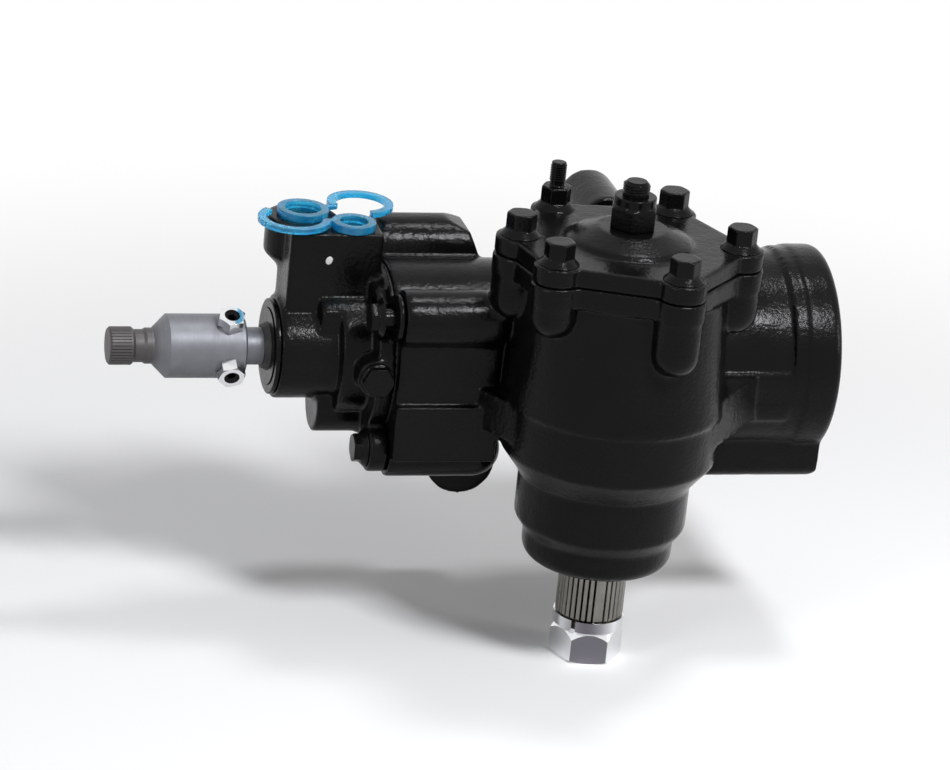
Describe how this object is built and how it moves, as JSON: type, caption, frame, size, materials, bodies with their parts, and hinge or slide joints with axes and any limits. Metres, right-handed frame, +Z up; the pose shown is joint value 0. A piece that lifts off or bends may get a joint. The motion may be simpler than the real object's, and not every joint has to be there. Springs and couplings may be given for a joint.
{
  "type": "steering gearbox",
  "caption": "Integral power steering gear: a splined input turns a ball worm that slides a rack piston and swings a vertical splined sector shaft, in a black cast housing.",
  "frame": {"origin": "on the sector shaft axis, at the middle of the pitman spline", "axes": "+Z up along the sector shaft, +X along the worm from the input towards the closed cylinder end, +Y towards the vehicle frame"},
  "size_m": [0.3889, 0.1892, 0.2645],
  "materials": {
    "black_enamel": "gloss black enamel over cast iron",
    "black_fasteners": "gloss black enamel over steel",
    "machined_steel": "turned grey steel",
    "bright_steel": "bright ground steel",
    "zinc_plate": "bright zinc plate",
    "hardened_steel": "ground hardened steel",
    "bronze": "bearing bronze",
    "black_rubber": "oil resistant rubber",
    "ring_plastic": "filled sealing plastic",
    "blue_plastic": "translucent blue plastic"
  },
  "bodies": {
    "housing": {"gear_housing": "black_enamel", "sector_cover": "black_enamel", "cover_seal": "black_rubber", "cover_bolts": "black_fasteners", "stud_bolt": "black_fasteners", "lash_adjuster": "black_fasteners", "adjuster_nut": "black_fasteners", "cover_bushing": "bronze", "sector_bearing": "hardened_steel", "sector_seal": "black_rubber", "seal_retaining_ring": "hardened_steel", "dirt_seal": "black_rubber", "end_stop_screw": "zinc_plate", "end_stop_washer": "bronze", "valve_housing": "black_enamel", "valve_bolts": "black_fasteners", "flange_seal": "black_rubber", "port_seats": "bronze", "passage_plug": "black_fasteners", "bearing_adjuster": "black_fasteners", "adjuster_lock_ring": "black_fasteners", "input_bearing": "hardened_steel", "input_seal": "black_rubber", "dust_seal": "black_rubber", "worm_bearing": "hardened_steel"},
    "worm": {"worm": "hardened_steel", "valve_sleeve": "hardened_steel", "sleeve_rings": "ring_plastic", "drive_pin": "hardened_steel"},
    "input": {"stub_shaft": "machined_steel", "torsion_bar": "hardened_steel", "torsion_pin": "hardened_steel", "input_coupler": "machined_steel", "set_screws": "black_fasteners", "set_screw_nuts": "zinc_plate"},
    "rack": {"rack_piston": "hardened_steel", "piston_ring": "ring_plastic", "recirculating_balls": "hardened_steel", "ball_guides": "zinc_plate", "guide_clamp": "zinc_plate", "rack_plug": "hardened_steel"},
    "sector": {"sector_shaft": "bright_steel", "adjuster_retainer": "hardened_steel", "lock_washer": "zinc_plate", "pitman_nut": "zinc_plate"},
    "pressure_plug": {"pressure_plug": "blue_plastic"},
    "return_plug": {"return_plug": "blue_plastic"}
  },
  "joints": [
    {"name": "worm_turn", "type": "hinge", "parent": "housing", "child": "worm", "pos_m": [0, 0.062, 0.109], "axis": [1, 0, 0], "range_deg": [-720, 720]},
    {"name": "valve_twist", "type": "hinge", "parent": "worm", "child": "input", "pos_m": [0, 0.062, 0.109], "axis": [1, 0, 0], "range_deg": [-4, 4], "stiffness_Nm_per_rad": 90},
    {"name": "rack_slide", "type": "slide", "parent": "housing", "child": "rack", "axis": [1, 0, 0], "range_m": [-0.0266, 0.0266]},
    {"name": "sector_turn", "type": "hinge", "parent": "housing", "child": "sector", "pos_m": [0, 0, 0], "axis": [0, 0, 1], "range_deg": [-42.5, 42.5]},
    {"name": "pressure_plug_lift", "type": "slide", "parent": "housing", "child": "pressure_plug", "axis": [0, 0, 1], "range_m": [0, 0.03]},
    {"name": "return_plug_lift", "type": "slide", "parent": "housing", "child": "return_plug", "axis": [0, 0, 1], "range_m": [0, 0.03]}
  ],
  "couplings": [
    {"joint": "worm_turn", "follows": "rack_slide", "rad_per_m": -472.22},
    {"joint": "sector_turn", "follows": "rack_slide", "rad_per_m": -27.778}
  ]
}
